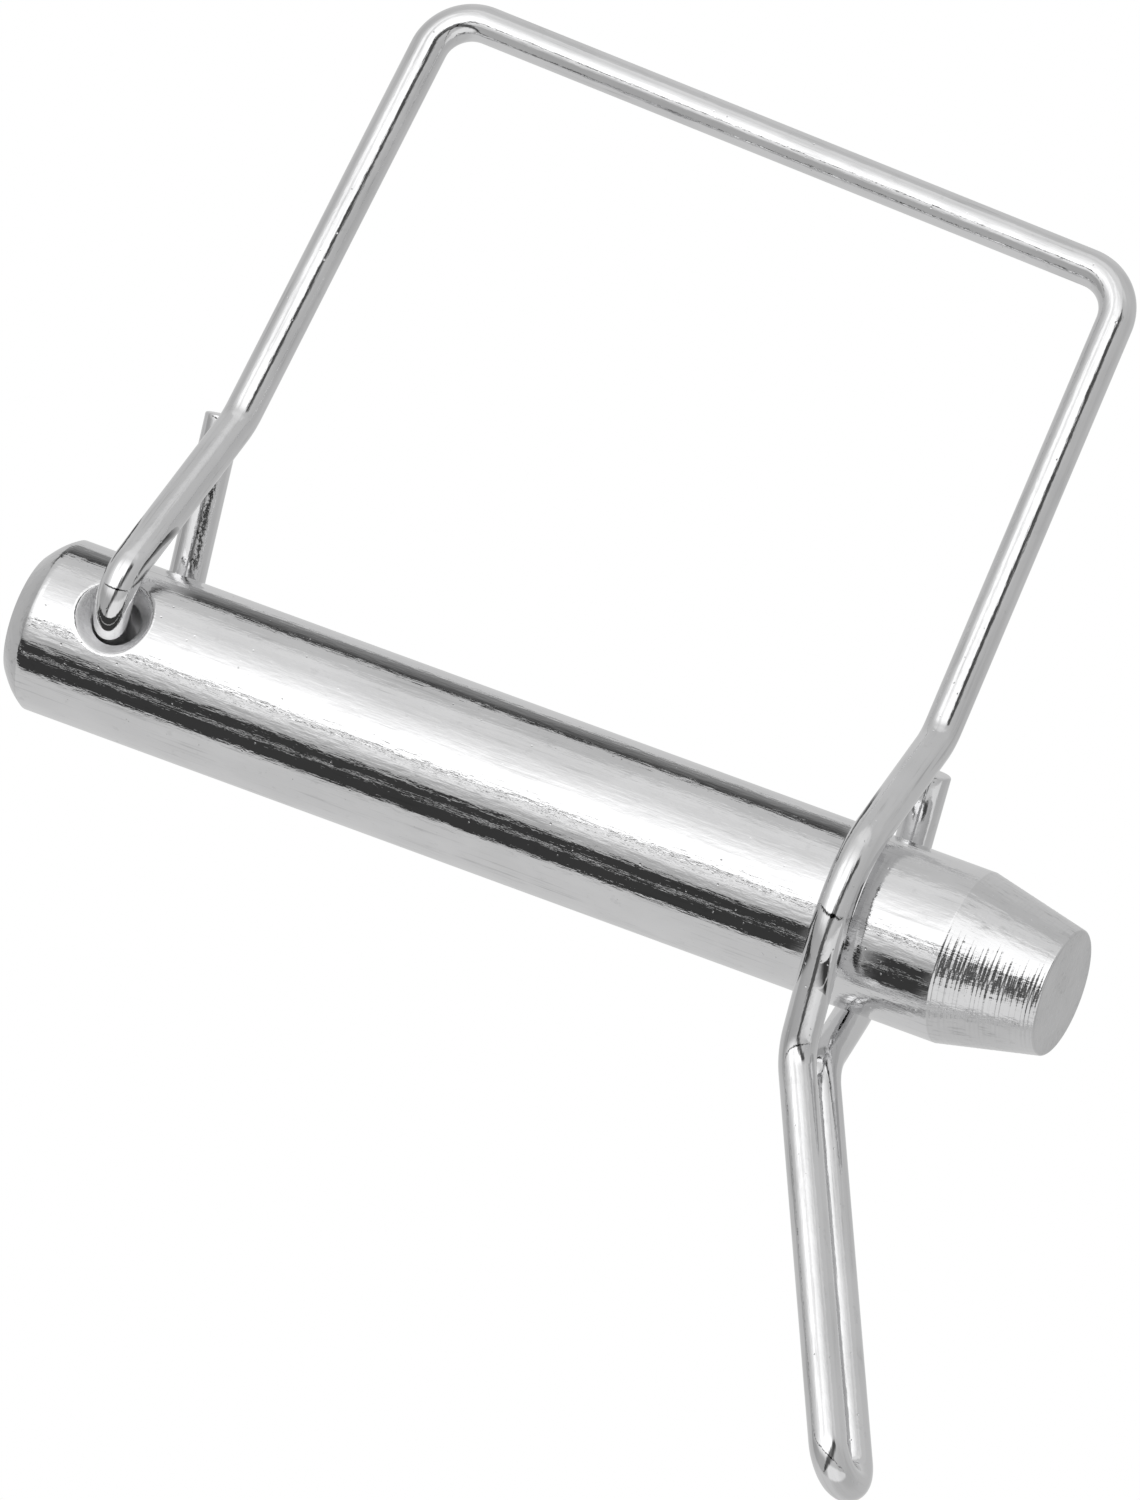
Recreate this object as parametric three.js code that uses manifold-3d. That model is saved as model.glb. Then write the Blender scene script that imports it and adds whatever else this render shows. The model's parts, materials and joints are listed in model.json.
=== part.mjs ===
// Hitch pin lock: a zinc plated steel pin with a sprung wire bail.
//
// Millimetres. +X runs along the pin from its head to its tapered tip, +Y points from the pin to
// the bail's top bar, and +Z is the axis of the cross hole. The part lies on its side, bail flat.
// The origin is the centre of the head's flat end face.
//
// The real object is two pieces, the pin and one bent wire. The wire is a spring: its tip leg
// bends outward to pull the ring off the pin, so the wire is two solids that meet on that leg.

import * as THREE from 'three';
import { mergeVertices } from 'three/addons/utils/BufferGeometryUtils.js';
import Module from 'manifold-3d';

// Driving dimensions of the pin.
const pinDiameter = 12.7;
const pinLength = 81;
const headChamferLength = 1.8;
const headChamferSag = 0.35;
const headFaceDiameter = 9.4;
const taperLength = 7.6;
const tipFaceDiameter = 9;
const tipEdgeBreak = 0.2;
const holeDiameter = 3.6;
const holeFromHead = 7.56;
const holeMouthDiameter = 5.6;
const holeMouthDepth = 1.3;

// Driving dimensions of the wire.
const wireDiameter = 2.7;
const headCornerBend = 3.2;
const tipCornerBend = 3.6;
const barHeightAtHead = 53.1;
const barHeightAtTip = 50.95;
const headLegTop = 8.08;
const headLegFoot = 7.73;
const tipLegTop = 63.05;
const tipLegFoot = 65;
const flexHeight = 45;
const jointGap = 0.3;

// The eye that the wire makes round the pin through the cross hole. Its two sides stand clear of
// the pin, and it leans a little off the hole's axis.
const eyeBend = 3;
const eyeReach = 18.5;
const eyeFootBend = 5;
const eyeClearFront = 2.55;
const eyeClearRear = 3.85;
const eyeDrop = 0.3;
const eyeLeanFront = -0.3;
const eyeLeanRear = 0.25;
const eyeEndAboveReach = 0.95;
const eyeEndOffset = -1.86;
const eyeEndBehind = 2.33;

// The ring that locks over the tip, and the cut end beside its leg.
const ringTop = 14;
const ringGap = 0.5;
const ringPastLegFront = 0.75;
const ringPastLegRear = -0.2;
const ringFootBend = 4;
const ringEndBelowTop = 1.3;
const ringEndOffset = -0.3;
const ringEndBehind = 3.1;

// The pull tail: two strands side by side that meet in a hairpin.
const tailAngle = THREE.MathUtils.degToRad(29);
const tailStart = 42.2;
const tailLength = 31.9;
const tailAcross = 52.05;
const hairpinSpacing = 4.3;
const hairpinLean = 0.15;
const hairpinTwist = 1.3;
const hairpinFlat = 0.1;
const frontKneeBend = 4;
const rearKneeBend = 5;
const rearKneeEarly = 0.9;
const rearKneeAcross = 1.05;
const rearKneeBehind = 0.3;

// How finely round shapes are divided.
const pinSides = 72;
const holeSides = 40;
const wireSides = 12;
const wireStep = 0.9;

// Sizes that follow from the driving ones.
const pinRadius = pinDiameter / 2;
const wireRadius = wireDiameter / 2;
const ringRadius = pinRadius + ringGap + wireRadius;
const framePlane = wireRadius;

// The flats of the many-sided wire touch the round wire from outside.
const wireSectionRadius = wireRadius / Math.cos(Math.PI / wireSides);

const wasm = await Module();
wasm.setup();

// ---------------------------------------------------------------- solids and booleans

function solidOf(geometry) {
  const bare = geometry.clone();
  bare.deleteAttribute('normal');
  bare.deleteAttribute('uv');
  const merged = mergeVertices(bare, 1e-4);
  return new wasm.Manifold(new wasm.Mesh({
    numProp: 3,
    vertProperties: Float32Array.from(merged.attributes.position.array),
    triVerts: Uint32Array.from(merged.index.array),
  }));
}

function geometryOf(solid) {
  const mesh = solid.getMesh();
  const geometry = new THREE.BufferGeometry();
  geometry.setAttribute('position', new THREE.BufferAttribute(mesh.vertProperties, 3));
  geometry.setIndex(new THREE.BufferAttribute(mesh.triVerts, 1));
  geometry.computeVertexNormals();
  return geometry;
}

// ---------------------------------------------------------------- bent wire

// A round bend in space: the arc that starts at one point, ends at another and keeps its centre.
class BendArc extends THREE.Curve {
  constructor(centre, start, end) {
    super();
    this.centre = centre;
    this.startSpoke = start.clone().sub(centre);
    this.endSpoke = end.clone().sub(centre);
    this.angle = this.startSpoke.angleTo(this.endSpoke);
  }

  getPoint(t, target = new THREE.Vector3()) {
    const startShare = Math.sin((1 - t) * this.angle) / Math.sin(this.angle);
    const endShare = Math.sin(t * this.angle) / Math.sin(this.angle);
    return target.copy(this.centre)
      .addScaledVector(this.startSpoke, startShare)
      .addScaledVector(this.endSpoke, endShare);
  }
}

// The arc of a given radius that rounds the corner between two straight runs.
function roundCorner(before, corner, after, radius) {
  const back = before.clone().sub(corner).normalize();
  const ahead = after.clone().sub(corner).normalize();
  const halfAngle = back.angleTo(ahead) / 2;
  const setback = radius / Math.tan(halfAngle);
  const inward = back.clone().add(ahead).normalize();
  const centre = corner.clone().addScaledVector(inward, radius / Math.sin(halfAngle));
  const start = corner.clone().addScaledVector(back, setback);
  const end = corner.clone().addScaledVector(ahead, setback);
  return { start, end, arc: new BendArc(centre, start, end) };
}

// The centre line of a wire: straight runs between corners, each corner rounded to its bend.
function wirePath(corners) {
  const path = new THREE.CurvePath();
  let from = corners[0].at;
  for (let i = 1; i < corners.length - 1; i += 1) {
    const bend = roundCorner(corners[i - 1].at, corners[i].at, corners[i + 1].at, corners[i].bend);
    path.add(new THREE.LineCurve3(from, bend.start));
    path.add(bend.arc);
    from = bend.end;
  }
  path.add(new THREE.LineCurve3(from, corners[corners.length - 1].at));
  return path;
}

function wireSolid(corners) {
  const section = new THREE.Shape();
  section.absarc(0, 0, wireSectionRadius, 0, 2 * Math.PI, false);
  const path = wirePath(corners);
  return new THREE.ExtrudeGeometry(section, {
    extrudePath: path,
    steps: Math.round(path.getLength() / wireStep),
    curveSegments: wireSides / 2,
  });
}

// ---------------------------------------------------------------- the pin

function pinBlank() {
  const profile = [
    [0, 0],
    [headFaceDiameter / 2, 0],
    [pinRadius - headChamferSag, headChamferLength / 2],
    [pinRadius, headChamferLength],
    [pinRadius, pinLength - taperLength],
    [tipFaceDiameter / 2 + tipEdgeBreak, pinLength - tipEdgeBreak],
    [tipFaceDiameter / 2, pinLength],
    [0, pinLength],
  ];
  const points = profile.map(([radius, along]) => new THREE.Vector2(radius, along));
  const lathe = new THREE.LatheGeometry(points, pinSides);
  return lathe.rotateZ(-Math.PI / 2);
}

// The cross hole's cutter, with a flared mouth at each end.
function crossHoleCutter() {
  const reach = pinRadius + 1;
  const holeRadius = holeDiameter / 2;
  const flareStart = pinRadius - holeMouthDepth;
  const flareSlope = (holeMouthDiameter / 2 - holeRadius) / holeMouthDepth;
  const flareRadius = holeRadius + (reach - flareStart) * flareSlope;
  const profile = [
    [0, -reach],
    [flareRadius, -reach],
    [holeRadius, -flareStart],
    [holeRadius, flareStart],
    [flareRadius, reach],
    [0, reach],
  ];
  const points = profile.map(([radius, along]) => new THREE.Vector2(radius, along));
  const lathe = new THREE.LatheGeometry(points, holeSides);
  return lathe.rotateX(Math.PI / 2).translate(holeFromHead, 0, 0);
}

function pinGeometry() {
  return geometryOf(solidOf(pinBlank()).subtract(solidOf(crossHoleCutter())));
}

// ---------------------------------------------------------------- the wire's corners

// The two top corners and the two legs lie in one plane, in front of the cut ends.
function frameCorners() {
  return {
    headFoot: new THREE.Vector3(headLegFoot, eyeReach, framePlane),
    headTop: new THREE.Vector3(headLegTop, barHeightAtHead, framePlane),
    tipTop: new THREE.Vector3(tipLegTop, barHeightAtTip, framePlane),
    tipFoot: new THREE.Vector3(tipLegFoot, ringTop, framePlane),
  };
}

// The point on the tip leg at a given height.
function onTipLeg(height) {
  const { tipTop, tipFoot } = frameCorners();
  const share = (tipTop.y - height) / (tipTop.y - tipFoot.y);
  return tipTop.clone().lerp(tipFoot, share);
}

// A point of the pull tail: so far along it and so far across it from the pin's head end.
function onTail(along, across, z) {
  const x = along * Math.sin(tailAngle) + across * Math.cos(tailAngle);
  const y = -along * Math.cos(tailAngle) + across * Math.sin(tailAngle);
  return new THREE.Vector3(x, y, z);
}

// Where the tangents from two points to the ring's circle about the pin meet. A bend of the
// ring's radius at that corner then runs round the pin's axis.
function ringApex(lower, upper, x, side) {
  const touchAngle = (point) => {
    const distance = Math.hypot(point.y, point.z);
    const direction = Math.atan2(side * point.z, point.y);
    const spread = Math.acos(ringRadius / distance);
    return direction + (point.y > 0 ? spread : -spread);
  };
  const first = touchAngle(upper);
  const last = touchAngle(lower);
  const distance = ringRadius / Math.cos((last - first) / 2);
  const middle = (first + last) / 2;
  return new THREE.Vector3(x, distance * Math.cos(middle), side * distance * Math.sin(middle));
}

// From the rear cut end, round the pin through its hole, up the head leg, along the bar and
// down to where the tip leg flexes.
function bailFrameCorners() {
  const { headFoot, headTop, tipTop } = frameCorners();
  const rearEnd = new THREE.Vector3(
    holeFromHead + eyeEndOffset,
    eyeReach + eyeEndAboveReach,
    framePlane - eyeEndBehind,
  );
  const eyeRear = new THREE.Vector3(holeFromHead + eyeLeanRear, -eyeDrop, -pinRadius - eyeClearRear);
  const eyeFront = new THREE.Vector3(holeFromHead + eyeLeanFront, -eyeDrop, pinRadius + eyeClearFront);
  return [
    { at: rearEnd },
    { at: eyeRear, bend: eyeBend },
    { at: eyeFront, bend: eyeBend },
    { at: headFoot, bend: eyeFootBend },
    { at: headTop, bend: headCornerBend },
    { at: tipTop, bend: tipCornerBend },
    { at: onTipLeg(flexHeight + jointGap / 2) },
  ];
}

// From where the tip leg flexes, down over the front of the pin, out along the pull tail, back
// behind the pin and up to the cut end behind the leg.
function lockLoopCorners() {
  const { tipFoot } = frameCorners();
  const tailEnd = tailStart + tailLength;
  const rearAcross = tailAcross + hairpinTwist;
  const half = hairpinSpacing / 2;
  const hairpinBend = half - hairpinFlat / 2;
  const frontKnee = onTail(tailStart, tailAcross, half);
  const rearKnee = onTail(tailStart - rearKneeEarly, tailAcross + rearKneeAcross, -half - rearKneeBehind);
  const rearEnd = new THREE.Vector3(
    tipLegFoot + ringEndOffset,
    ringTop - ringEndBelowTop,
    framePlane - ringEndBehind,
  );
  const frontX = tipLegFoot + ringPastLegFront;
  const rearX = tipLegFoot + ringPastLegRear;
  return [
    { at: onTipLeg(flexHeight - jointGap / 2) },
    { at: tipFoot, bend: ringFootBend },
    { at: ringApex(frontKnee, tipFoot, frontX, 1), bend: ringRadius },
    { at: frontKnee, bend: frontKneeBend },
    { at: onTail(tailEnd, tailAcross + hairpinLean, half), bend: hairpinBend },
    { at: onTail(tailEnd, rearAcross, -half), bend: hairpinBend },
    { at: rearKnee, bend: rearKneeBend },
    { at: ringApex(rearKnee, rearEnd, rearX, -1), bend: ringRadius },
    { at: rearEnd },
  ];
}

// ---------------------------------------------------------------- the assembly

const zincPlate = new THREE.MeshStandardMaterial({ color: 0xc9cbcd, metalness: 1, roughness: 0.22 });
const zincWire = new THREE.MeshStandardMaterial({ color: 0xc2c4c6, metalness: 1, roughness: 0.28 });

function namedMesh(name, geometry, material) {
  const mesh = new THREE.Mesh(geometry, material);
  mesh.name = name;
  return mesh;
}

const bail = new THREE.Group();
bail.add(namedMesh('bail_frame', wireSolid(bailFrameCorners()), zincWire));
bail.add(namedMesh('lock_loop', wireSolid(lockLoopCorners()), zincWire));

const group = new THREE.Group();
group.add(namedMesh('pin', pinGeometry(), zincPlate));
group.add(bail);

export default group;
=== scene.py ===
"""Hitch pin lock: a zinc plated pin and its sprung wire bail, on a white floor in soft studio light.

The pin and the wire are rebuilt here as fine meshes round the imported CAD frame. The frame is in
metres: +X runs along the pin from head to tip, +Y to the bail's top bar, +Z along the cross hole.
"""
import json
import math

import bmesh
import bpy
import numpy as np
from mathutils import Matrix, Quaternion, Vector


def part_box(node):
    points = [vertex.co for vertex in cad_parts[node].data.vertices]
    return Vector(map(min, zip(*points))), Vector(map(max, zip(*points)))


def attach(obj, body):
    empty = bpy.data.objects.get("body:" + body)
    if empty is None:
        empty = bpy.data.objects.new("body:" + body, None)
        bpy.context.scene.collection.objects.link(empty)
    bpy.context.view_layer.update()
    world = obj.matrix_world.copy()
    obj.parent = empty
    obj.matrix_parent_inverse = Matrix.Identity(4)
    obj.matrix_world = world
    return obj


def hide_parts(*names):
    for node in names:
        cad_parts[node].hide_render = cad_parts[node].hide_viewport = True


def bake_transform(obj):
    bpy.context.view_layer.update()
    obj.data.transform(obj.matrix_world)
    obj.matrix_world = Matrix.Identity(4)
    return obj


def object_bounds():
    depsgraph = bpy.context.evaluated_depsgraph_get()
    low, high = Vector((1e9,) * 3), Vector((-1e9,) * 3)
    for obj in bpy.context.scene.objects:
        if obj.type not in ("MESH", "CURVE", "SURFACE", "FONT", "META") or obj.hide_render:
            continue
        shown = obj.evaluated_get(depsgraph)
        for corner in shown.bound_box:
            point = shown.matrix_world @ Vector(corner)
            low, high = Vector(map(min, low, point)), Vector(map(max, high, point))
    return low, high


MM = 0.001

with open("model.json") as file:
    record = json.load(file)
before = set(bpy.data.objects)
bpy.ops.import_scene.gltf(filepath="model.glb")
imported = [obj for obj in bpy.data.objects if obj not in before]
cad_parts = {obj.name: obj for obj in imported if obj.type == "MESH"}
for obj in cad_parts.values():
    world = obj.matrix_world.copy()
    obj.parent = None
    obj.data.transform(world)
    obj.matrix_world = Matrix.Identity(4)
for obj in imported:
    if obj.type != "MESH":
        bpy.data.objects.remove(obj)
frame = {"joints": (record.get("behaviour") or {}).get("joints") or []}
cad_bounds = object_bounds()
joints = {joint["name"]: joint for joint in frame["joints"]}

# The pin, from the frame, and the details that only the fine mesh has.
PIN_LOW, PIN_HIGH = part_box("pin")
PIN_LENGTH = PIN_HIGH.x - PIN_LOW.x
PIN_RADIUS = (PIN_HIGH.y - PIN_LOW.y) / 2
HOLE_X = joints["bail_swing"]["pos_m"][0]
HOLE_RADIUS = 1.8 * MM
HOLE_MOUTH_RADIUS = 2.8 * MM
HOLE_MOUTH_DEPTH = 1.3 * MM
MOUTH_EDGE = 0.09 * MM
HEAD_FACE_RADIUS = 4.7 * MM
HEAD_CHAMFER = 1.8 * MM
HEAD_BULGE = 0.16 * MM
TAPER_LENGTH = 7.6 * MM
TAPER_START = PIN_LENGTH - TAPER_LENGTH
TIP_FACE_RADIUS = 4.5 * MM
TIP_ROUNDING = 0.2 * MM
TIP_EDGE = PIN_LENGTH - TIP_ROUNDING
RIDGE_PITCH = 0.36 * MM
RIDGE_DEPTH = 0.0055 * MM

# The wire, and its middle plane, in which the bail's legs and bar lie.
WIRE_RADIUS = 1.35 * MM
WIRE_PLANE = WIRE_RADIUS

# The eye: its cut end, behind and beside the head leg, and its corners outside the cross hole.
EYE_END_TO_HEAD = 1.86 * MM
EYE_END_HEIGHT = 19.45 * MM
EYE_END_BEHIND = 2.33 * MM
EYE_BEHIND_PIN = 3.85 * MM
EYE_BEFORE_PIN = 2.55 * MM
EYE_REAR_TO_TIP = 0.25 * MM
EYE_FRONT_TO_HEAD = 0.3 * MM
EYE_BELOW_AXIS = 0.3 * MM
EYE_BEND = 3 * MM

# The legs, from their feet to the top bar.
HEAD_LEG_FOOT = 7.73 * MM
HEAD_LEG_TOP = 8.08 * MM
HEAD_FOOT_HEIGHT = 18.5 * MM
HEAD_FOOT_BEND = 5 * MM
HEAD_CORNER_BEND = 3.2 * MM
BAR_HEIGHT_AT_HEAD = 53.1 * MM
BAR_HEIGHT_AT_TIP = 50.95 * MM
TIP_CORNER_BEND = 3.6 * MM
TIP_LEG_TOP = 63.05 * MM
TIP_LEG_FOOT = 65 * MM
TIP_FOOT_HEIGHT = 14 * MM
TIP_FOOT_BEND = 4 * MM

# The ring round the pin, which passes the leg's foot a little in front and falls short behind.
RING_GAP = 0.5 * MM
RING_RADIUS = PIN_RADIUS + WIRE_RADIUS + RING_GAP
RING_FRONT_X = TIP_LEG_FOOT + 0.75 * MM
RING_REAR_X = TIP_LEG_FOOT - 0.2 * MM
REAR_END_TO_HEAD = 0.3 * MM
REAR_END_HEIGHT = 12.7 * MM
REAR_END_BEHIND = 3.1 * MM

# The pull tail, which leans from straight down towards the tip, and its hairpin end.
TAIL_ANGLE = math.radians(29)
TAIL_START = 42.2 * MM
TAIL_LENGTH = 31.9 * MM
TAIL_ACROSS = 52.05 * MM
HAIRPIN_HALF = 2.15 * MM
HAIRPIN_LEAN = 0.15 * MM
HAIRPIN_TWIST = 1.3 * MM
HAIRPIN_FLAT = 0.1 * MM
FRONT_KNEE_BEND = 4 * MM
REAR_KNEE_BEND = 5 * MM
REAR_KNEE_EARLY = 0.9 * MM
REAR_KNEE_ACROSS = 1.05 * MM
REAR_KNEE_BEHIND = 0.3 * MM


# ---------------------------------------------------------------- mesh helpers

def mesh_object(name, vertices, faces, smooth=True):
    """A new object in the scene, with a mesh of the given vertices and faces."""
    mesh = bpy.data.meshes.new(name)
    mesh.from_pydata([tuple(v) for v in vertices], [], faces)
    mesh.validate()
    mesh.update()
    mesh.polygons.foreach_set("use_smooth", [smooth] * len(mesh.polygons))
    obj = bpy.data.objects.new(name, mesh)
    bpy.context.scene.collection.objects.link(obj)
    return obj


def add_points(vertices, points):
    """Puts the points at the end of the vertices, and gives their numbers."""
    first = len(vertices)
    vertices.extend(points)
    return list(range(first, len(vertices)))


def ring_faces(first, second):
    """Quads between two closed rings of vertex numbers."""
    count = len(first)
    return [(first[i], first[(i + 1) % count], second[(i + 1) % count], second[i]) for i in range(count)]


def fan_faces(ring, centre):
    """Triangles from a closed ring of vertex numbers to a centre vertex."""
    count = len(ring)
    return [(ring[i], ring[(i + 1) % count], centre) for i in range(count)]


def recalculate_normals(obj):
    """All faces point outward, and edges sharper than 40 degrees are shaded sharp."""
    work = bmesh.new()
    work.from_mesh(obj.data)
    bmesh.ops.recalc_face_normals(work, faces=work.faces)
    for edge in work.edges:
        edge.smooth = edge.calc_face_angle(0) < math.radians(40)
    work.to_mesh(obj.data)
    work.free()


# ---------------------------------------------------------------- the pin's mesh

# Vertices round the pin, and half the side of the window left for the hole, in vertices and metres.
AROUND = 192
WINDOW = 20
WINDOW_REACH = 2 * math.pi * PIN_RADIUS / AROUND * WINDOW
HOLE_SIDES = ((0, 1), (AROUND // 2, -1))

# Rings of vertices along each stretch of the pin.
HEAD_RINGS = 10
NECK_RINGS = 5
SHANK_RINGS = 60
TAPER_RINGS = 190
TIP_RINGS = 7
MOUTH_RINGS = 9
WALL_RINGS = 25
END_SHARES = (0.985, 0.9, 0.7, 0.45, 0.2)


def ridge(x):
    """Turning marks on the taper: ridges of uneven height, none on the shank."""
    into = x - TAPER_START
    if into < 0 or x > TIP_EDGE:
        return 0.0
    turn = 2 * math.pi * into / RIDGE_PITCH
    uneven = 0.8 + 0.5 * math.sin(0.37 * turn + 1.1) + 0.3 * math.sin(0.113 * turn)
    fine = 0.3 * math.sin(2.63 * turn + 0.6)
    return RIDGE_DEPTH * (uneven * math.sin(turn + 1.3 * math.sin(0.21 * turn)) + fine)


def pin_radius_at(x):
    """The pin's radius at a distance from its head face."""
    if x < HEAD_CHAMFER:
        share = x / HEAD_CHAMFER
        straight = HEAD_FACE_RADIUS + (PIN_RADIUS - HEAD_FACE_RADIUS) * share
        return straight + HEAD_BULGE * math.sin(math.pi * share)
    if x <= TAPER_START:
        return PIN_RADIUS
    if x <= TIP_EDGE:
        share = (x - TAPER_START) / (TIP_EDGE - TAPER_START)
        return PIN_RADIUS + (TIP_FACE_RADIUS + TIP_ROUNDING - PIN_RADIUS) * share + ridge(x)
    rise = (x - TIP_EDGE) / TIP_ROUNDING
    return TIP_FACE_RADIUS + TIP_ROUNDING * math.sqrt(max(0.0, 1 - rise * rise))


def pin_stations():
    """Where the pin's rings of vertices lie along it, and the first and last ring of the window."""
    low, high = HOLE_X - WINDOW_REACH, HOLE_X + WINDOW_REACH
    head = np.linspace(0, HEAD_CHAMFER, HEAD_RINGS)
    neck = np.linspace(HEAD_CHAMFER, low, NECK_RINGS)[1:]
    window = np.linspace(low, high, 2 * WINDOW + 1)[1:]
    shank = np.linspace(high, TAPER_START, SHANK_RINGS)[1:]
    taper = np.linspace(TAPER_START, TIP_EDGE, TAPER_RINGS)[1:]
    tip = TIP_EDGE + TIP_ROUNDING * np.sin(np.linspace(0, math.pi / 2, TIP_RINGS)[1:])
    stations = np.concatenate([head, neck, window, shank, taper, tip])
    first = len(head) + len(neck) - 1
    return stations, first, first + 2 * WINDOW


def circle(x, radius):
    """Points round the pin's axis. The first is in front, +Z, and they run towards +Y."""
    points = []
    for place in range(AROUND):
        angle = 2 * math.pi * place / AROUND
        points.append((x, radius * math.sin(angle), radius * math.cos(angle)))
    return points


def pin_skin(vertices, faces, stations, first, last):
    """The pin's side, with a square window left open in front and behind for the hole."""
    skin = [add_points(vertices, circle(x, pin_radius_at(x))) for x in stations]
    open_places = set()
    for middle, _ in HOLE_SIDES:
        open_places |= {(middle - WINDOW + i) % AROUND for i in range(2 * WINDOW)}
    for station, (ring, following) in enumerate(zip(skin, skin[1:])):
        for place, face in enumerate(ring_faces(ring, following)):
            if not (first <= station < last and place in open_places):
                faces.append(face)
    return skin


def window_rim(first, last, middle):
    """The station and place of each vertex on the border of a window in the pin's skin."""
    low, high = middle - WINDOW, middle + WINDOW
    rim = [(first + i, low) for i in range(2 * WINDOW)]
    rim += [(last, low + i) for i in range(2 * WINDOW)]
    rim += [(last - i, high) for i in range(2 * WINDOW)]
    rim += [(first, high - i) for i in range(2 * WINDOW)]
    return [(station, place % AROUND) for station, place in rim]


def surface_height(across):
    """How high the pin's skin is above its axis, so far to the side."""
    return math.sqrt(PIN_RADIUS**2 - across**2)


def hole_mouth_height(along, across):
    """How high the pin is beside the hole's axis: skin, then a countersunk mouth."""
    distance = math.hypot(along, across)
    if distance >= HOLE_MOUTH_RADIUS:
        return surface_height(across)
    share = (HOLE_MOUTH_RADIUS - distance) / (HOLE_MOUTH_RADIUS - HOLE_RADIUS)
    rim = surface_height(across / distance * HOLE_MOUTH_RADIUS)
    floor = PIN_RADIUS - HOLE_MOUTH_DEPTH
    return rim + (floor - rim) * share


def hole_mouth(vertices, faces, rim, side):
    """Rings from a window's rim inward: skin, the mouth's edge, and its slope down to the hole."""
    outline = [(vertices[v][0] - HOLE_X, vertices[v][1]) for v in rim]
    reaches = [math.hypot(along, across) for along, across in outline]
    outer = HOLE_MOUTH_RADIUS + MOUTH_EDGE
    inner = HOLE_MOUTH_RADIUS - MOUTH_EDGE
    rounds = []
    for share in 1 - np.linspace(0, 1, MOUTH_RINGS)[1:] ** 0.8:
        rounds.append([outer + (reach - outer) * share for reach in reaches])
    for share in np.linspace(0, 1, MOUTH_RINGS):
        rounds.append([inner + (HOLE_RADIUS - inner) * share] * len(outline))
    ring = rim
    for distances in rounds:
        points = []
        for (along, across), reach, distance in zip(outline, reaches, distances):
            a = along / reach * distance
            b = across / reach * distance
            points.append((HOLE_X + a, b, side * hole_mouth_height(a, b)))
        fresh = add_points(vertices, points)
        faces += ring_faces(ring, fresh)
        ring = fresh
    return ring


def hole_wall(vertices, faces, front, rear):
    """The hole's wall, from the front mouth's inner ring to the rear one's."""
    def angle(vertex):
        return math.atan2(vertices[vertex][1], vertices[vertex][0] - HOLE_X)

    # The rear ring starts at another angle, so each front vertex looks for the one behind it.
    matched = []
    for vertex in front:
        here = angle(vertex)
        matched.append(min(rear, key=lambda v: abs(math.remainder(angle(v) - here, 2 * math.pi))))
    ring = front
    for depth in np.linspace(0, 1, WALL_RINGS)[1:-1]:
        points = []
        for ahead, behind in zip(front, matched):
            points.append(tuple(Vector(vertices[ahead]).lerp(Vector(vertices[behind]), depth)))
        fresh = add_points(vertices, points)
        faces += ring_faces(ring, fresh)
        ring = fresh
    faces += ring_faces(ring, matched)


def end_face(vertices, faces, edge, x):
    """A flat end of the pin: rings that close on a centre vertex."""
    radius = math.hypot(*vertices[edge[0]][1:])
    ring = edge
    for share in END_SHARES:
        fresh = add_points(vertices, circle(x, radius * share))
        faces += ring_faces(ring, fresh)
        ring = fresh
    centre = add_points(vertices, [(x, 0.0, 0.0)])[0]
    faces += fan_faces(ring, centre)


def make_pin():
    """The pin as one closed mesh: skin, two hole mouths, the hole's wall and both ends."""
    stations, first, last = pin_stations()
    vertices = []
    faces = []
    skin = pin_skin(vertices, faces, stations, first, last)
    mouths = []
    for middle, side in HOLE_SIDES:
        rim = [skin[station][place] for station, place in window_rim(first, last, middle)]
        mouths.append(hole_mouth(vertices, faces, rim, side))
    hole_wall(vertices, faces, *mouths)
    end_face(vertices, faces, skin[0], 0.0)
    end_face(vertices, faces, skin[-1], PIN_LENGTH)
    pin = mesh_object("pin_body", vertices, faces)
    recalculate_normals(pin)
    return pin


# ---------------------------------------------------------------- the wire's path and mesh

WIRE_SIDES = 40
WIRE_STEP = 0.22 * MM
CUT_ROUNDING = 0.16 * MM
CUT_RINGS = 5


def on_tail(along, across, z):
    """A point of the pull tail, so far along it and so far across it."""
    x = along * math.sin(TAIL_ANGLE) + across * math.cos(TAIL_ANGLE)
    y = -along * math.cos(TAIL_ANGLE) + across * math.sin(TAIL_ANGLE)
    return Vector((x, y, z))


def ring_apex(lower, upper, x, side):
    """Where the tangents from two points to the ring's circle about the pin meet."""
    def touch(point):
        direction = math.atan2(side * point.z, point.y)
        spread = math.acos(RING_RADIUS / math.hypot(point.y, point.z))
        return direction + (spread if point.y > 0 else -spread)

    first = touch(upper)
    last = touch(lower)
    distance = RING_RADIUS / math.cos((last - first) / 2)
    middle = (first + last) / 2
    return Vector((x, distance * math.cos(middle), side * distance * math.sin(middle)))


def eye_corners():
    """From the first cut end, behind the pin and through its hole to the front."""
    end = Vector((HOLE_X - EYE_END_TO_HEAD, EYE_END_HEIGHT, WIRE_PLANE - EYE_END_BEHIND))
    rear = Vector((HOLE_X + EYE_REAR_TO_TIP, -EYE_BELOW_AXIS, -PIN_RADIUS - EYE_BEHIND_PIN))
    front = Vector((HOLE_X - EYE_FRONT_TO_HEAD, -EYE_BELOW_AXIS, PIN_RADIUS + EYE_BEFORE_PIN))
    return [(end, 0), (rear, EYE_BEND), (front, EYE_BEND)]


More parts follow.
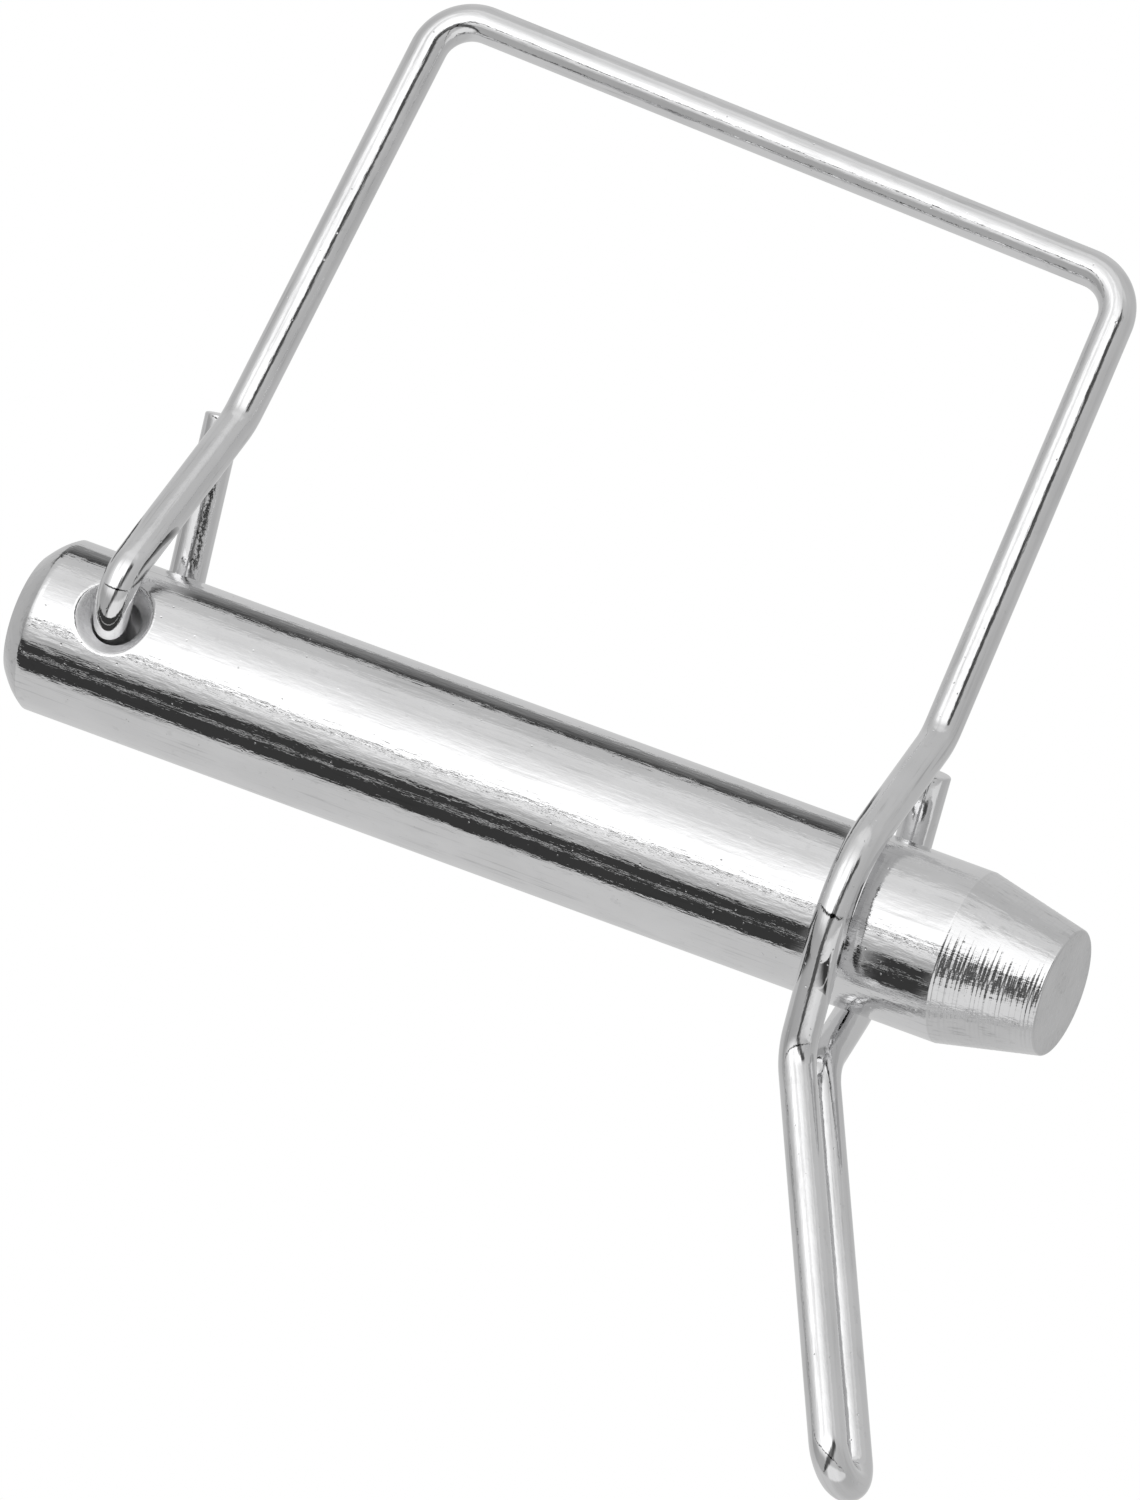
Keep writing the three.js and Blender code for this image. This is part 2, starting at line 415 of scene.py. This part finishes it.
def frame_corners():
    """Up the head leg, along the top bar and down the tip leg."""
    return [
        (Vector((HEAD_LEG_FOOT, HEAD_FOOT_HEIGHT, WIRE_PLANE)), HEAD_FOOT_BEND),
        (Vector((HEAD_LEG_TOP, BAR_HEIGHT_AT_HEAD, WIRE_PLANE)), HEAD_CORNER_BEND),
        (Vector((TIP_LEG_TOP, BAR_HEIGHT_AT_TIP, WIRE_PLANE)), TIP_CORNER_BEND),
        (Vector((TIP_LEG_FOOT, TIP_FOOT_HEIGHT, WIRE_PLANE)), TIP_FOOT_BEND),
    ]


def loop_corners():
    """Over the pin, out along the tail, round the hairpin, and back behind the pin."""
    tip_foot = frame_corners()[-1][0]
    tail_end = TAIL_START + TAIL_LENGTH
    hairpin_bend = HAIRPIN_HALF - HAIRPIN_FLAT / 2
    front_knee = on_tail(TAIL_START, TAIL_ACROSS, HAIRPIN_HALF)
    rear_knee = on_tail(TAIL_START - REAR_KNEE_EARLY, TAIL_ACROSS + REAR_KNEE_ACROSS,
                        -HAIRPIN_HALF - REAR_KNEE_BEHIND)
    rear_end = Vector((TIP_LEG_FOOT - REAR_END_TO_HEAD, REAR_END_HEIGHT, WIRE_PLANE - REAR_END_BEHIND))
    return [
        (ring_apex(front_knee, tip_foot, RING_FRONT_X, 1), RING_RADIUS),
        (front_knee, FRONT_KNEE_BEND),
        (on_tail(tail_end, TAIL_ACROSS + HAIRPIN_LEAN, HAIRPIN_HALF), hairpin_bend),
        (on_tail(tail_end, TAIL_ACROSS + HAIRPIN_TWIST, -HAIRPIN_HALF), hairpin_bend),
        (rear_knee, REAR_KNEE_BEND),
        (ring_apex(rear_knee, rear_end, RING_REAR_X, -1), RING_RADIUS),
        (rear_end, 0),
    ]


def wire_centre_line():
    """Points along the wire's centre: straight runs, and arcs at the corners."""
    corners = eye_corners() + frame_corners() + loop_corners()
    points = [corners[0][0]]

    def run_to(target):
        start = points[-1]
        count = max(1, round((target - start).length / (2 * WIRE_STEP)))
        points.extend(start.lerp(target, (i + 1) / count) for i in range(count))

    for (before, _), (corner, bend), (after, _) in zip(corners, corners[1:], corners[2:]):
        back = (before - corner).normalized()
        ahead = (after - corner).normalized()
        half = back.angle(ahead) / 2
        centre = corner + (back + ahead).normalized() * (bend / math.sin(half))
        arc_start = corner + back * (bend / math.tan(half))
        run_to(arc_start)
        spoke = arc_start - centre
        axis = back.cross(spoke).normalized()
        turn = math.pi - 2 * half
        count = max(3, round(bend * turn / WIRE_STEP))
        points.extend(centre + Quaternion(axis, turn * (i + 1) / count) @ spoke for i in range(count))
    run_to(corners[-1][0])
    return points


class Tube:
    """A round tube built ring by ring, with each vertex's place on the straightened wire."""

    def __init__(self, across):
        self.across = across
        self.previous = None
        self.vertices = []
        self.faces = []
        self.places = []

    def add_ring(self, centre, tangent, radius, travelled):
        """A ring square to the tangent, joined to the one before and turned as little as it can be."""
        self.across = (self.across - tangent * self.across.dot(tangent)).normalized()
        up = tangent.cross(self.across)
        points = []
        for i in range(WIRE_SIDES):
            angle = 2 * math.pi * i / WIRE_SIDES
            points.append(centre + (self.across * math.cos(angle) + up * math.sin(angle)) * radius)
            self.places.append((travelled, math.cos(angle) * WIRE_RADIUS, math.sin(angle) * WIRE_RADIUS))
        ring = add_points(self.vertices, points)
        if self.previous:
            self.faces += ring_faces(self.previous, ring)
        self.previous = ring
        return ring

    def add_cut(self, end, inward, tangent, angles, travelled):
        """The rings of a cut end's rounded edge."""
        rings = []
        for angle in angles:
            centre = end + inward * CUT_ROUNDING * (1 - math.sin(angle))
            radius = WIRE_RADIUS - CUT_ROUNDING * (1 - math.cos(angle))
            rings.append(self.add_ring(centre, tangent, radius, travelled))
        return rings

    def close(self, ring, centre):
        """A flat cut face."""
        middle = add_points(self.vertices, [centre.copy()])[0]
        self.places.append(self.places[ring[WIRE_SIDES // 2]])
        self.faces += fan_faces(ring, middle)


def make_wire():
    """The whole bail as one closed tube, with sheared ends whose edges are slightly rounded."""
    path = wire_centre_line()
    tangents = [(b - a).normalized() for a, b in zip(path, path[1:])]
    tangents.append(tangents[-1])
    tube = Tube(Vector((0, 0, 1)).cross(tangents[0]).normalized())
    first_cut = tube.add_cut(path[0], tangents[0], tangents[0], np.linspace(math.pi / 2, 0, CUT_RINGS), 0.0)
    travelled = 0.0
    for i in range(1, len(path)):
        travelled += (path[i] - path[i - 1]).length
        if travelled >= 2 * CUT_ROUNDING and i < len(path) - 2:
            tangent = (tangents[i - 1] + tangents[i]).normalized()
            tube.add_ring(path[i], tangent, WIRE_RADIUS, travelled)
    last_cut = tube.add_cut(path[-1], -tangents[-1], tangents[-1], np.linspace(0, math.pi / 2, CUT_RINGS),
                            travelled)
    tube.close(first_cut[0], path[0])
    tube.close(last_cut[-1], path[-1])
    wire = mesh_object("wire_bail", tube.vertices, tube.faces)
    place = wire.data.attributes.new("wire_place", "FLOAT_VECTOR", "POINT")
    place.data.foreach_set("vector", [value for point in tube.places for value in point])
    recalculate_normals(wire)
    return wire


# ---------------------------------------------------------------- materials

ZINC_COLOUR = (0.79, 0.79, 0.795)
BUMP_DEPTH = 0.016 * MM


class Nodes:
    """Short calls for building a node tree."""

    def __init__(self, tree):
        self.tree = tree
        tree.nodes.clear()

    def add(self, kind, inputs=None, **settings):
        node = self.tree.nodes.new(kind)
        for name, value in settings.items():
            setattr(node, name, value)
        for name, value in (inputs or {}).items():
            if isinstance(value, bpy.types.NodeSocket):
                self.tree.links.new(value, node.inputs[name])
            else:
                node.inputs[name].default_value = value
        return node

    def math(self, operation, a, b=None, clamp=False):
        values = {0: a} if b is None else {0: a, 1: b}
        return self.add("ShaderNodeMath", values, operation=operation, use_clamp=clamp).outputs[0]

    def plus(self, a, b):
        return self.math("ADD", a, b)

    def minus(self, a, b):
        return self.math("SUBTRACT", a, b)

    def times(self, a, b):
        return self.math("MULTIPLY", a, b)

    def size(self, a):
        return self.math("ABSOLUTE", a)

    def ramp(self, value, low, high, to_low=0.0, to_high=1.0):
        """A smooth step from one value to another."""
        node = self.add("ShaderNodeMapRange", {
            "Value": value, "From Min": low, "From Max": high, "To Min": to_low, "To Max": to_high,
        }, interpolation_type="SMOOTHSTEP")
        return node.outputs[0]

    def noise(self, vector, stretch, scale, detail=2.0, rough=0.5):
        """Noise drawn out along X by a stretch under 1."""
        mapped = self.add("ShaderNodeMapping", {"Vector": vector, "Scale": (stretch, 1, 1)}).outputs[0]
        node = self.add("ShaderNodeTexNoise", {
            "Vector": mapped, "Scale": scale, "Detail": detail, "Roughness": rough,
        })
        return node.outputs["Fac"]

    def pits(self, vector, scale, size, share):
        """Small round dents, 1 inside and 0 outside, in only a share of the cells."""
        cell = self.add("ShaderNodeTexVoronoi", {"Vector": vector, "Scale": scale})
        inside = self.ramp(cell.outputs["Distance"], size, 0.0)
        chosen = self.math("LESS_THAN", cell.outputs["Color"], share)
        return self.times(inside, chosen)


def new_material(name):
    """An empty material, and the short calls for its node tree."""
    material = bpy.data.materials.new(name)
    material.use_nodes = True
    return material, Nodes(material.node_tree)


def turned_share(n, vector):
    """How dull the pin is: its turned ends a little, its drilled hole fully. The hole's share also lifts
    its colour in plate_tone, as painted light against the shade inside it.
    """
    head_dull, taper_dull, face_dull = 0.75, 0.45, 0.35
    blend, face_blend = 0.1 * MM, 0.05 * MM
    parts = n.add("ShaderNodeSeparateXYZ", {0: vector})
    along = parts.outputs["X"]
    across = parts.outputs["Y"]
    head = n.ramp(along, HEAD_CHAMFER, HEAD_CHAMFER - blend, 0.0, head_dull)
    taper = n.ramp(along, TAPER_START, TAPER_START + blend, 0.0, taper_dull)
    face = n.ramp(along, PIN_LENGTH - face_blend, PIN_LENGTH, 0.0, face_dull)
    off_hole = n.minus(along, HOLE_X)
    reach = n.math("SQRT", n.plus(n.times(off_hole, off_hole), n.times(across, across)))
    hole = n.ramp(reach, HOLE_MOUTH_RADIUS, HOLE_MOUTH_RADIUS - MOUTH_EDGE)
    return n.plus(n.plus(head, taper), face), hole


def plate_bump(n, vector, wave, specks, pits):
    """A faint ripple and drawn lines of height wave, with specks and pits sunk into them."""
    drawn_share, speck_depth, pit_depth = 0.8, 1.8, 1.5
    ripple = n.noise(vector, 0.35, 2100, 3, 0.55)
    drawn = n.noise(vector, 0.04, 2600, 4, 0.6)
    height = n.plus(n.times(ripple, wave), n.times(drawn, drawn_share * wave))
    height = n.minus(height, n.times(specks, speck_depth))
    height = n.minus(height, n.times(pits, pit_depth))
    return n.add("ShaderNodeBump", {"Height": height, "Strength": 1.0, "Distance": BUMP_DEPTH})


def plate_tone(n, vector, clouds, specks, pits, turned, hole):
    """How bright the plating is: duller in lines, blotches, specks, pits and on the turned ends, and
    lighter in the hole, where the raised colour is painted light against the shade inside it.
    """
    full, line_dull, blotch_dull, pit_dull, speck_dull = 1.01, 0.24, 0.08, 0.45, 0.12
    # The second value lightens the hole's colour: painted light against the shade inside the hole.
    turned_dull, hole_painted_light = 0.2, 0.2
    lines = n.noise(vector, 0.03, 3400, 5, 0.65)
    lined = n.times(n.ramp(lines, 0.52, 0.72), n.ramp(clouds, 0.42, 0.62))
    blotches = n.noise(vector, 0.8, 900, 4, 0.65)
    blotched = n.plus(n.ramp(blotches, 0.6, 0.72), n.ramp(clouds, 0.35, 0.65, -0.4, 0.4))
    tone = n.minus(full, n.times(lined, line_dull))
    tone = n.minus(tone, n.times(blotched, blotch_dull))
    tone = n.minus(tone, n.times(pits, pit_dull))
    tone = n.minus(tone, n.times(specks, speck_dull))
    tone = n.minus(tone, n.times(turned, turned_dull))
    # Painted light: the hole's mouth and wall get a lighter colour to lift the shade inside the hole.
    return n.plus(tone, n.times(hole, hole_painted_light))


def plate_roughness(n, roughness, clouds, pits, turned, hole):
    """The plating's roughness: it varies in clouds, and rises in pits, the ends and the hole."""
    spread, pit_rough, turned_rough, hole_rough = 0.3, 0.2, 0.03, 0.45
    rough = n.ramp(clouds, 0.3, 0.7, roughness * (1 - spread), roughness * (1 + spread))
    rough = n.plus(rough, n.times(pits, pit_rough))
    return n.plus(rough, n.plus(n.times(turned, turned_rough), n.times(hole, hole_rough)))


def zinc(name, roughness, wave, place=None):
    """Bright zinc plate. It is mapped by a mesh attribute if place names one, else by position."""
    material, n = new_material(name)
    if place:
        vector = n.add("ShaderNodeAttribute", attribute_name=place).outputs["Vector"]
        turned, hole = 0.0, 0.0
    else:
        vector = n.add("ShaderNodeTexCoord").outputs["Object"]
        turned, hole = turned_share(n, vector)
    clouds = n.noise(vector, 0.5, 230, 4, 0.6)
    specks = n.pits(vector, 1900, 0.2, 0.22)
    pits = n.pits(vector, 640, 0.15, 0.07)
    bump = plate_bump(n, vector, wave, specks, pits)
    tone = plate_tone(n, vector, clouds, specks, pits, turned, hole)
    colour = n.add("ShaderNodeMix", {0: tone, "A": (0, 0, 0, 1), "B": (*ZINC_COLOUR, 1)},
                   data_type="RGBA", clamp_factor=False)
    shader = n.add("ShaderNodeBsdfPrincipled", {
        "Base Color": colour.outputs["Result"],
        "Roughness": plate_roughness(n, roughness, clouds, pits, turned, hole),
        "Normal": bump.outputs[0],
        "Metallic": 1.0,
    })
    n.add("ShaderNodeOutputMaterial", {"Surface": shader.outputs[0]})
    return material


def dress(piece, material):
    """Gives a piece its material."""
    piece.data.materials.clear()
    piece.data.materials.append(material)


# ---------------------------------------------------------------- stage: camera, strips, floor

# The view: what the camera looks at, from where, how far it is rolled and how much it takes in.
FRAME_HEIGHT = 105.54 * MM
VIEW_AZIMUTH = math.radians(44.77)
VIEW_ELEVATION = math.radians(63.97)
VIEW_ROLL = math.radians(-21.65)
VIEW_DISTANCE = 2.4
LOOK_AT = Vector((40.35 * MM, 4.4 * MM, 0))

# The dark strips beside the pin: how far off, how high each side's is, and how its ends fade.
STRIP_OFF = PIN_RADIUS + 1.65 * MM
FRONT_STRIP = (3.6 * MM, 8.45 * MM)
FRONT_GLOW = (0.045, 0.045)
FRONT_GLEAM = 0.5
BACK_STRIP = (2.75 * MM, 5.85 * MM)
BACK_GLOW = (0.3, 0.05)
STRIP_FADE = 3 * MM

# Each strip is in two runs, apart where the wire goes past.
BACK_RUNS = {"head": (-8 * MM, 6.8 * MM), "shank": (8 * MM, 64.2 * MM)}
FRONT_RUNS = {"shank": (-8 * MM, 64.5 * MM), "tip": (65.6 * MM, 74.2 * MM)}

FLOOR_REACH = 2.0
FLOOR_BELOW = 0.5 * MM


def make_camera():
    """A distant camera with a long lens, so that the view is nearly parallel."""
    back = Vector((
        math.sin(VIEW_AZIMUTH) * math.cos(VIEW_ELEVATION),
        -math.cos(VIEW_AZIMUTH) * math.cos(VIEW_ELEVATION),
        math.sin(VIEW_ELEVATION),
    ))
    data = bpy.data.cameras.new("camera")
    camera = bpy.data.objects.new("camera", data)
    bpy.context.scene.collection.objects.link(camera)
    data.lens = data.sensor_width * VIEW_DISTANCE / FRAME_HEIGHT
    data.clip_start = 0.1
    data.clip_end = 10
    camera.rotation_mode = "QUATERNION"
    upright = (-back).to_track_quat("-Z", "Y")
    camera.rotation_quaternion = upright @ Quaternion((0, 0, 1), VIEW_ROLL)
    camera.location = LOOK_AT + back * VIEW_DISTANCE
    bpy.context.scene.camera = camera


def one_sided(n, front, faded=0.0):
    """A shader that shows only on a face's front, and lets light through where it has faded."""
    behind = n.math("MAXIMUM", n.add("ShaderNodeNewGeometry").outputs["Backfacing"], faded)
    clear = n.add("ShaderNodeBsdfTransparent")
    mixed = n.add("ShaderNodeMixShader", {0: behind, 1: front, 2: clear.outputs[0]})
    n.add("ShaderNodeOutputMaterial", {"Surface": mixed.outputs[0]})


def make_strip(name, run, across, heights, glow, gleam=0.0):
    """A dark card that the pin reflects: its glow at two edges, and a pale middle line."""
    start, end = run
    low, high = heights
    corners = [(start, across, low), (end, across, low), (end, across, high), (start, across, high)]
    if across < 0:
        corners.reverse()
    strip = mesh_object(name, corners, [(0, 1, 2, 3)], smooth=False)
    material, n = new_material(name)
    place = n.add("ShaderNodeSeparateXYZ", {0: n.add("ShaderNodeTexCoord").outputs["Object"]})
    along = place.outputs["X"]
    up = place.outputs["Z"]
    line_outer, line_inner = 0.035 * (high - low), 0.01 * (high - low)
    off_middle = n.size(n.minus(up, (low + high) / 2))
    pale = n.ramp(off_middle, line_outer, line_inner, 0.0, gleam)
    dark = n.add("ShaderNodeEmission", {"Strength": n.plus(pale, n.ramp(up, low, high, *glow))})
    faded = n.plus(n.ramp(along, start + STRIP_FADE, start), n.ramp(along, end - STRIP_FADE, end))
    one_sided(n, dark.outputs[0], faded)
    strip.data.materials.append(material)
    strip.visible_camera = False


def make_strips():
    """The dark strips on the pin's bar side and on its tail side."""
    for run_name, run in BACK_RUNS.items():
        make_strip(f"back_shade_{run_name}", run, STRIP_OFF, BACK_STRIP, BACK_GLOW)
    for run_name, run in FRONT_RUNS.items():
        make_strip(f"front_shade_{run_name}", run, -STRIP_OFF, FRONT_STRIP, FRONT_GLOW, FRONT_GLEAM)


def make_floor():
    """A plain white table top that glows evenly, so that it takes no shadow."""
    reach = FLOOR_REACH
    height = cad_bounds[0][2] - FLOOR_BELOW
    corners = [(-reach, -reach, height), (reach, -reach, height), (reach, reach, height),
               (-reach, reach, height)]
    floor = mesh_object("floor", corners, [(0, 1, 2, 3)], smooth=False)
    material, n = new_material("floor")
    white = n.add("ShaderNodeEmission", {"Strength": 1.0})
    one_sided(n, white.outputs[0])
    floor.data.materials.append(material)
    floor.visible_glossy = False
    floor.visible_shadow = False


# ---------------------------------------------------------------- stage: light by direction

# A direction is described by how far it leans from straight up, along the pin and across it.
# The softbox ends at FRONT_EDGE in front of the pin, and both lights end between the TIP_ENDS.
FRONT_EDGE = -0.445
TIP_ENDS = (0.55, 0.38)
SOFTBOX_LIGHT = 0.95
SECOND_LIGHT = 0.4
ALL_LIGHT = 0.745


def beyond(n, value, edge, fade):
    """How far a value is past an edge, in units of fade, and 0 before it."""
    return n.math("MAXIMUM", n.math("DIVIDE", n.minus(value, edge), fade), 0.0)


def softbox(n, lean_x, lean_y):
    """The overhead softbox: it fades to the head and the bar, and ends more sharply in front."""
    peak, edge_drop, edge_half = 1.12, 0.5, 0.015
    head_side = beyond(n, lean_x, -0.6, -0.75)
    bar_side = beyond(n, lean_y, 0.0, 0.55)
    front = beyond(n, lean_y, FRONT_EDGE, -0.35)
    sideways = n.plus(n.times(head_side, head_side), n.times(bar_side, bar_side))
    fading = n.plus(n.math("SQRT", sideways), n.times(front, front))
    past_edge = n.ramp(lean_y, FRONT_EDGE + edge_half, FRONT_EDGE - edge_half)
    light = n.math("EXPONENT", n.times(fading, -1.0))
    light = n.times(light, n.minus(peak, n.times(past_edge, edge_drop)))
    return n.times(light, n.ramp(lean_x, *TIP_ENDS))


def second_light(n, lean_x, lean_y):
    """A smaller light behind the softbox, which reaches the legs and the tail but not the pin."""
    middle, spread, screen_middle = 0.38, 0.3, 0.36
    off = beyond(n, n.size(n.minus(lean_y, middle)), 0.0, spread)
    light = n.math("EXPONENT", n.times(n.times(off, off), -1.0))
    screened = n.ramp(n.size(n.plus(lean_x, screen_middle)), 0.04, 0.16)
    reach = n.times(n.ramp(lean_x, -1.1, -0.8), n.ramp(lean_x, *TIP_ENDS))
    return n.times(n.times(light, screened), reach)


def wall_light(n, x, y, z, lean_y):
    """Pale walls: one paler strip behind, dimmer in front of the head, brighter before the tip."""
    level, strip_gain, front_drop, fill_gain = 0.8, 0.2, 0.2, 0.4
    strip = n.times(n.ramp(y, 0.6, 0.75), n.ramp(z, 0.42, 0.52))
    front = n.times(n.ramp(lean_y, -0.5, -1.1), n.ramp(x, 0.0, -0.25))
    fill = n.times(n.ramp(lean_y, -0.9, -1.3), n.ramp(x, -0.2, 0.05))
    walls = n.plus(n.times(strip, strip_gain), level)
    walls = n.minus(walls, n.times(front, front_drop))
    return n.plus(walls, n.times(fill, fill_gain))


def dark_gaps(n, lean_x, lean_y):
    """A dark gap beside the softbox, on the tip's side, and a thin one along its front edge."""
    gap_dark, seam_dark = 0.86, 0.95
    slant = n.minus(n.times(lean_x, 0.92), n.times(lean_y, 0.39))
    gap = n.times(n.ramp(slant, 0.22, 0.36), n.ramp(slant, 0.85, 0.58))
    gap = n.times(gap, n.ramp(lean_y, 0.9, 0.6))
    seam = n.ramp(n.size(n.minus(lean_y, FRONT_EDGE)), 0.05, 0.015)
    return n.plus(n.times(gap, gap_dark), n.times(seam, seam_dark))


def make_world():
    """Soft studio light: a wide overhead softbox, pale walls and a pale table, on a white ground."""
    world = bpy.data.worlds.new("studio")
    bpy.context.scene.world = world
    world.use_nodes = True
    n = Nodes(world.node_tree)
    parts = n.add("ShaderNodeSeparateXYZ", {0: n.add("ShaderNodeTexCoord").outputs["Generated"]})
    x, y, z = parts.outputs[0], parts.outputs[1], parts.outputs[2]
    above = n.math("MAXIMUM", z, 0.05)
    lean_x = n.math("DIVIDE", x, above)
    lean_y = n.math("DIVIDE", y, above)

    upper = n.plus(wall_light(n, x, y, z, lean_y), n.times(softbox(n, lean_x, lean_y), SOFTBOX_LIGHT))
    upper = n.plus(upper, n.times(second_light(n, lean_x, lean_y), SECOND_LIGHT))
    upper = n.times(upper, n.math("SUBTRACT", 1.0, dark_gaps(n, lean_x, lean_y), clamp=True))
    table = n.ramp(x, -0.1, 0.3, 0.87, 0.75)
    level = n.add("ShaderNodeMix", {0: n.ramp(z, -0.12, 0.04), "A": table, "B": upper})
    along_pin = n.ramp(n.size(x), 0.6, 0.95, 1.0, 0.88)
    level = n.times(n.times(level.outputs["Result"], along_pin), ALL_LIGHT)
    shown = n.add("ShaderNodeLightPath").outputs["Is Camera Ray"]
    strength = n.add("ShaderNodeMix", {0: shown, "A": level, "B": 1.0}).outputs["Result"]
    background = n.add("ShaderNodeBackground", {"Color": (1, 1, 1, 1), "Strength": strength})
    n.add("ShaderNodeOutputWorld", {"Surface": background.outputs[0]})


# ---------------------------------------------------------------- putting it together

make_camera()

pin = make_pin()
dress(pin, zinc("zinc_pin", roughness=0.035, wave=1.7))
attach(pin, "pin")
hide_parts("pin")

wire = make_wire()
dress(wire, zinc("zinc_wire", roughness=0.045, wave=1.0, place="wire_place"))
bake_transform(wire)
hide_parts("bail_frame", "lock_loop")

make_strips()
make_floor()
make_world()
bpy.context.scene.view_settings.view_transform = "Standard"
